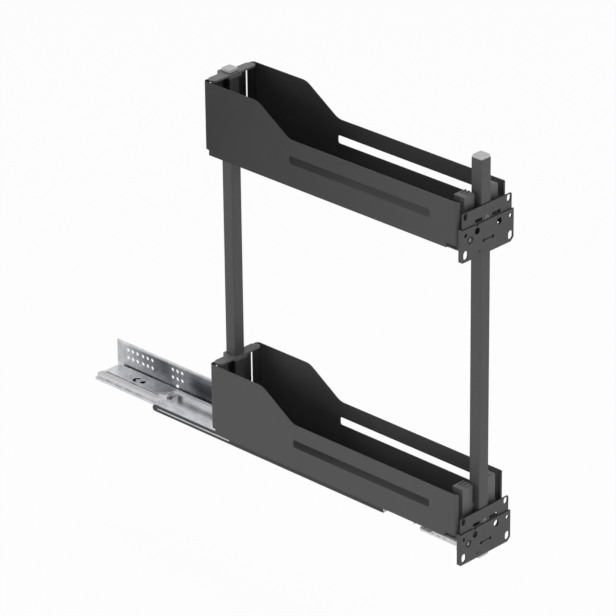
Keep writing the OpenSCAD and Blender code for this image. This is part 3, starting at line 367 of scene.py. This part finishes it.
# zinc-plated steel: colour, tint of its clouds, roughness, wear and painted highlight on edges
zincValues = {
    "zincSheet": ((0.56, 0.57, 0.60), (0.70, 0.705, 0.72), 0.3, wornAndHighlighted(0.0004, 1.2)),
    "middleZinc": ((0.50, 0.51, 0.54), (0.62, 0.625, 0.64), 0.3, wornAndHighlighted(0.0004, 1.2)),
    "wallZinc": ((0.52, 0.53, 0.56), (0.66, 0.665, 0.68), 0.3, wornAndHighlighted(0.0004, 1.2)),
    "lugZinc": ((0.40, 0.39, 0.41), (0.50, 0.49, 0.51), 0.36, wornAndHighlighted(0.0004, 1.2)),
    "zincScrew": ((0.42, 0.43, 0.45), (0.52, 0.51, 0.49), 0.3, wornAndHighlighted(0.0003, 1.5)),
    "camZinc": ((0.16, 0.16, 0.165), (0.22, 0.22, 0.22), 0.42, wornAndHighlighted(0.0003, 0.2)),
    "lowerCamZinc": ((0.26, 0.26, 0.265), (0.34, 0.34, 0.34), 0.42, wornAndHighlighted(0.0003, 0.2)),
    "upperCamZinc": ((0.26, 0.26, 0.265), (0.34, 0.34, 0.34), 0.42, wornAndHighlighted(0.0003, 0.2)),
}
# edge is the colour of worn zinc edges with a painted highlight on them
zincSkin = {"edge": (0.93, 0.94, 0.95), "spread": (-0.07, 0.08), "bump": 0.12, "depth": 0.00008}

finishes = {name: grainedSkin(name, {**powderSkin, **values}) for name, values in powderValues.items()}
for name, (color, edge, rough, wearAndHighlight) in plasticValues.items():
    values = {"color": color, "edge": edge, "rough": rough, "wearAndHighlight": wearAndHighlight}
    finishes[name] = grainedSkin(name, {**plasticSkin, **values})
for name, (color, tint, rough, wearAndHighlight) in zincValues.items():
    values = {"color": color, "tint": tint, "rough": rough, "wearAndHighlight": wearAndHighlight}
    finishes[name] = zincCoat(name, {**zincSkin, **values})


# painted shade on the upper basket's coat: full at its rear end, a quarter at faint (m) behind its front
basketShade = {"color": (0.036, 0.036, 0.038), "faint": 0.04}


def shadeBasket(values):
    low, high = boxOf("upper_basket")
    place = {"Under": low[2] - edgeFade, "Bottom": low[2], "Top": high[2], "Over": high[2] + edgeFade,
             "Full": high[1], "Faint": low[1] + values["faint"], "Least": 1, "Most": 1}
    # lays the painted shade over the basket coat
    layOver(finishes["basketCoat"], paintedShadePlace, place, values["color"], False)


# painted dark reflection on the middle of the wall flange and a painted shadow line on its shelf, all from
# the profile's box, m
wallShade = {
    "darkReflection": (0.085, 0.092, 0.103),
    "under": 0.0128, "bottom": 0.0138,         # above its bottom
    "top": 0.005, "over": 0.0015,              # below its top
    "full": 0.058, "faint": 0.013,             # before its rear end
    "shadowColor": (0.012, 0.012, 0.013),
    "line": (0.0066, 0.0106),                  # above its bottom
    "lineEnd": 0.0105,                         # before its rear end
}


def shadeWall(values):
    low, high = boxOf("cabinet_profile")
    bottom, top, rear = low[2], high[2], high[1]
    place = {"Under": bottom + values["under"], "Bottom": bottom + values["bottom"],
             "Top": top - values["top"], "Over": top - values["over"],
             "Full": rear - values["full"], "Faint": rear - values["faint"]}
    # lays the painted dark reflection over the flange's middle
    layOver(finishes["wallZinc"], paintedShadePlace, place, values["darkReflection"], False)
    # then a painted shadow line on the shelf's upward faces
    start, end = (bottom + height for height in values["line"])
    line = {"Lowest": (low[0], low[1], start), "Highest": (high[0], rear - values["lineEnd"], end),
            "Facing": (0, 0, 1)}
    layOver(finishes["wallZinc"], shadedFaces, line, values["shadowColor"], True)


# the near face of the middle profile's rib lies in shade, up to rear (m) before its end
ribShade = {"color": (0.02, 0.02, 0.021), "depth": 0.0012, "rear": 0.161}


def shadeRib(values):
    low, high = boxOf("middle_profile")
    end = (low[0] + values["depth"], high[1] - values["rear"], high[2])
    place = {"Lowest": tuple(low), "Highest": end, "Facing": (1, 0, 0)}
    layOver(finishes["middleZinc"], shadedFaces, place, values["color"], True)


# painted shade on the sheet edges of the punched plates, in their holes too, but not on the outermost near
# one
plateShade = {"color": (0.012, 0.012, 0.013), "nearEdge": 0.00021}


def shadePlates(values):
    low, high = boxOf(*[tier + kind for tier in tiers for kind in ("_post_plate", "_door_plate")])
    place = {"Lowest": (low[0] + values["nearEdge"], low[1], low[2]), "Highest": tuple(high),
             "Facing": (0, 1, 0), "Turned": 0}
    layOver(finishes["plateCoat"], shadedFaces, place, values["color"], False)


# each cam's rim, beyond the radius inner (m), lies in the shade of the plate round it
camShade = {"color": (0.01, 0.01, 0.011), "inner": 0.0026}


def shadeCam(tier, values):
    low, high = boxOf(tier + "_height_cam")
    place = {"Centre": tuple((low + high) / 2), "Inner": values["inner"]}
    layOver(finishes[tier + "CamZinc"], ring, place, values["color"], True)


shadeBasket(basketShade)
shadeWall(wallShade)
shadeRib(ribShade)
shadePlates(plateShade)
for tier in tiers:
    shadeCam(tier, camShade)
print("materials built:", len(finishes))

finishOf = {
    "wallZinc": ["cabinet_profile"],
    "middleZinc": ["middle_profile"],
    "zincSheet": ["drawer_profile", "front_post_bracket"],
    "lugZinc": ["middle_stop"],
    "zincScrew": ["middle_stop_rivet", "lever_pin", "front_post_screws", "drawer_rivets", "rear_post_plug",
                  "rear_post_screw", "lower_basket_screws"],
    "railPlastic": ["cabinet_rear_stop"],
    "shadeStripPlastic": ["middle_side_strip"],
    "clipPlastic": ["front_clip", "release_lever"],
    "capPlastic": ["front_post_cap", "rear_post_cap", "front_post_foot"],
    "postCoat": ["front_post", "rear_post"],
}
# the same in both tiers, with lower_ or upper_ before the name
tierFinishOf = {
    "basketCoat": ["basket"],
    "plateCoat": ["post_plate", "door_plate"],
    "barPlastic": ["rear_clamp"],
    "blockPlastic": ["near_clamp", "far_clamp"],
    "lockBlack": ["lock_screw"],
    "camZinc": ["plate_screws"],
    "zincScrew": ["set_screw", "clamp_bolt", "clamp_nut", "lock_nut"],
    "rollerPlastic": ["glide", "roller_1", "roller_2", "roller_3"],
    "cagePlastic": ["roller_cage"],
}
nodeFinish = {node: name for name, group in finishOf.items() for node in group}
for tier in tiers:
    nodeFinish[tier + "_height_cam"] = tier + "CamZinc"
    nodeFinish.update({tier + "_" + kind: name for name, group in tierFinishOf.items() for kind in group})
for node, piece in nodes.items():
    finish = finishes[nodeFinish[node]]
    if not piece.material_slots:
        piece.data.materials.append(finish)
    for slot in piece.material_slots:
        slot.material = finish
print("finishes on nodes")


def roundSquare(half, radius, steps):
    # ring of points: four quarter arcs, the centre of each (half - radius) out along both axes;
    # half and radius may be columns, one row for each ring
    side = np.arange(4).repeat(steps) * np.pi / 2
    angle = side + np.tile(np.linspace(0, np.pi / 2, steps), 4)
    corner = side + np.pi / 4
    reach = (half - radius) * np.sqrt(2)
    x = reach * np.cos(corner) + radius * np.cos(angle)
    y = reach * np.sin(corner) + radius * np.sin(angle)
    return np.stack([x, y], -1)


def closedRings(name, rings, sharpAngle):
    # rings (rows x points x 3) from the bottom up: four-sided faces from row to row, and at each end
    # a fan to a pole in the middle of the row
    rows, count = rings.shape[:2]
    row, col = np.meshgrid(np.arange(rows - 1), np.arange(count), indexing="ij")
    here, above = row * count, (row + 1) * count
    after = (col + 1) % count
    quads = np.stack([here + col, here + after, above + after, above + col], -1)
    first = np.arange(count)
    following = (first + 1) % count
    last = (rows - 1) * count
    low = np.stack([np.full(count, rows * count), following, first], -1)
    high = np.stack([np.full(count, rows * count + 1), last + first, last + following], -1)
    points = np.concatenate([rings.reshape(-1, 3), [rings[0].mean(0), rings[-1].mean(0)]])
    mesh = bpy.data.meshes.new(name)
    mesh.from_pydata(points.tolist(), [], quads.reshape(-1, 4).tolist() + low.tolist() + high.tolist())
    mesh.polygons.foreach_set("use_smooth", np.ones(len(mesh.polygons), bool))
    mesh.set_sharp_from_angle(angle=math.radians(sharpAngle))
    piece = bpy.data.objects.new(name, mesh)
    bpy.context.collection.objects.link(piece)
    return piece


capShell = {
    "headHeight": 0.0045,    # what shows above the tube, m
    "cornerRadius": 0.0022,
    "edgeRadius": 0.0009,    # round edge between side and top
    "groove": {"from": 0.0021, "width": 0.0007, "depth": 0.00035},    # shallow, round the top
    "dome": 0.0004,          # the middle of the top stands this much above its edge
    "plugHeight": 0.008,
    "plugInset": 0.0024,     # the plug in the tube is smaller than the head by this much on each side
    "cornerSteps": 9,        # points in each corner's arc
    "edgeSteps": 6,          # rings in the round edge
    "topSteps": 12,          # rings in the top
    "topShare": 0.96,        # the innermost ring lies this share of the way to the middle
    "leastRadius": 0.0003,   # of a ring's corners, m
    "mostRound": 0.9,        # a ring's corner radius is at most this share of its half width
    "sharpAngle": 35,        # degrees
}


def capProfile(half, top, values):
    # (inset, height) of each ring: plug, underside, straight side, quarter-round edge, then the top, which
    # rises by dome * (1 - (1 - s)^2), with s from its edge to the middle, less a V-shaped groove
    base = top - values["headHeight"]
    rim = top - values["dome"]
    r = values["edgeRadius"]
    arc = np.linspace(0, np.pi / 2, values["edgeSteps"])
    edge = np.stack([r * (1 - np.cos(arc)), rim - r + r * np.sin(arc)], -1)
    start, width = values["groove"]["from"], values["groove"]["width"]
    across = r + np.linspace(0, values["topShare"], values["topSteps"]) * (half - r)
    inset = np.sort(np.concatenate([across, start + width * np.array([0, 0.5, 1])]))
    s = (inset - r) / (half - r)
    dip = np.clip(1 - np.abs(inset - start - width / 2) / (width / 2), 0, 1) * values["groove"]["depth"]
    dome = np.stack([inset, rim + values["dome"] * (1 - (1 - s) ** 2) - dip], -1)[1:]
    plug = values["plugInset"]
    low = [[plug, base - values["plugHeight"]], [plug, base], [0, base]]
    return np.concatenate([low, edge, dome])


def buildCap(node, values):
    # the profile carried round a square with rounded corners
    low, high = boxOf(node)
    half = min(high[0] - low[0], high[1] - low[1]) / 2
    inset, height = capProfile(half, high[2], values).T[:, :, None]
    ringHalf = half - inset
    radius = np.maximum(values["cornerRadius"] - inset, values["leastRadius"])
    radius = np.minimum(radius, ringHalf * values["mostRound"])
    flat = roundSquare(ringHalf, radius, values["cornerSteps"]) + ((low + high) / 2)[:2]
    level = np.broadcast_to(height[:, :, None], flat.shape[:2] + (1,))
    piece = closedRings(node + "_shell", np.concatenate([flat, level], -1), values["sharpAngle"])
    piece.data.materials.append(finishes["capPlastic"])
    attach(piece, "rack")
    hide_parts(node)


for node in ("front_post_cap", "rear_post_cap"):
    buildCap(node, capShell)
print("cap shells built")


studio = {
    "floorDrop": 0.28,       # the rack hangs on a cabinet side, so the floor lies well below it, m
    "floorSize": 12,         # m
    "floorColor": (0.93, 0.93, 0.935),
    "floorRough": 0.9,
    "floorShine": 0.1,
    "floorWhite": 0.96,      # share of plain white that the camera sees on the floor
    "worldLight": 0.17,      # of the world on the object; the camera and mirrors see it white
    "aim": (0, 240, 280),    # the lamps point here, in rack coordinates, mm
    "lamps": {
        "key": {"at": (-0.5, -0.4, 4.6), "size": 1.4, "power": 75},
        "fill": {"at": (-3.4, 1.6, 1.0), "size": 2.6, "power": 43},
        "front": {"at": (1.6, -4.0, 1.4), "size": 2.4, "power": 52},
        "low": {"at": (-1.5, -1.9, -0.1), "size": 1.2, "power": 15},
    },
}


def seenPlain(tree, *rays):
    # 1 for rays of the named kinds and 0 for all others
    path = addNode(tree, "ShaderNodeLightPath").outputs
    seen = path[rays[0]]
    for ray in rays[1:]:
        seen = calc(tree, "MAXIMUM", seen, path[ray])
    return seen


def floorFinish(values):
    # camera and mirror rays see mostly white, the rest is the lit floor with the object's shadow
    mat, tree, shader = startMaterial("floorWhite")
    shader["Base Color"].default_value = (*values["floorColor"], 1)
    shader["Roughness"].default_value = values["floorRough"]
    shader["Specular IOR Level"].default_value = values["floorShine"]
    share = calc(tree, "MULTIPLY", seenPlain(tree, "Is Camera Ray", "Is Glossy Ray"), values["floorWhite"])
    lit = tree.nodes["Principled BSDF"].outputs[0]
    white = addNode(tree, "ShaderNodeEmission").outputs[0]
    blend = addNode(tree, "ShaderNodeMixShader", {0: share, 1: lit, 2: white})
    tree.links.new(blend.outputs[0], tree.nodes["Material Output"].inputs["Surface"])
    return mat


def buildFloor(values):
    # one square, wider than the camera's view, below the object
    half = values["floorSize"] / 2
    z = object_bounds()[0].z - values["floorDrop"]
    mesh = bpy.data.meshes.new("floor")
    corners = [(-half, -half, z), (half, -half, z), (half, half, z), (-half, half, z)]
    mesh.from_pydata(corners, [], [(0, 1, 2, 3)])
    mesh.materials.append(floorFinish(values))
    floor = bpy.data.objects.new("floor", mesh)
    bpy.context.collection.objects.link(floor)
    floor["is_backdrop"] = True


def placed(right, up, back, at):
    # matrix of a lamp or camera that looks along -back
    rows = [[right[k], up[k], back[k], at[k]] for k in range(3)]
    return Matrix(rows + [[0, 0, 0, 1]])


def buildLamp(name, values, aim):
    # square area lamp that faces the point aim
    data = bpy.data.lights.new(name, "AREA")
    data.shape = "SQUARE"
    data.size = values["size"]
    data.energy = values["power"]
    lamp = bpy.data.objects.new(name, data)
    bpy.context.collection.objects.link(lamp)
    at = np.array(values["at"])
    toward = (aim - at) / np.linalg.norm(aim - at)
    right = np.cross(toward, [0, 0, 1])
    right /= np.linalg.norm(right)
    lamp.matrix_world = placed(right, np.cross(right, toward), -toward, at)


def buildWorld(values):
    # white for camera, mirror and glass rays, and a weak even light for all others
    world = bpy.data.worlds.new("studioWorld")
    bpy.context.scene.world = world
    world.use_nodes = True
    tree = world.node_tree
    background = tree.nodes["Background"].inputs
    background["Color"].default_value = (1, 1, 1, 1)
    seen = seenPlain(tree, "Is Camera Ray", "Is Glossy Ray", "Is Transmission Ray")
    tree.links.new(ramp(tree, seen, (0, 1), (values["worldLight"], 1)), background["Strength"])


buildFloor(studio)
for name, lamp in studio["lamps"].items():
    buildLamp(name + "Light", lamp, placeInFrame(studio["aim"]))
buildWorld(studio)
print("studio built")

# found by fitting the photo's straight edges: turn, tilt and roll in degrees, eye in rack coordinates, mm
cameraValues = {
    "turn": -45.6812, "tilt": 25.8586, "roll": -0.6675, "eye": (-3914.20, -3493.97, 2884.11),
    "lens": 251.126, "sensor": 36, "clip": (0.1, 100),
}


def buildCamera(values):
    # back = from the object to the eye; right and up are turned about it by roll
    turn, tilt, roll = (math.radians(values[name]) for name in ("turn", "tilt", "roll"))
    back = np.array([math.sin(turn) * math.cos(tilt), -math.cos(turn) * math.cos(tilt), math.sin(tilt)])
    level = np.array([math.cos(turn), math.sin(turn), 0])
    upright = np.cross(back, level)
    right = math.cos(roll) * level + math.sin(roll) * upright
    up = -math.sin(roll) * level + math.cos(roll) * upright
    data = bpy.data.cameras.new("photoCamera")
    data.sensor_width = values["sensor"]
    data.lens = values["lens"]
    data.clip_start, data.clip_end = values["clip"]
    camera = bpy.data.objects.new("photoCamera", data)
    bpy.context.collection.objects.link(camera)
    camera.matrix_world = placed(right, up, back, placeInFrame(values["eye"]))
    bpy.context.scene.camera = camera


buildCamera(cameraValues)
bpy.context.scene.view_settings.view_transform = "Standard"
print("camera built")
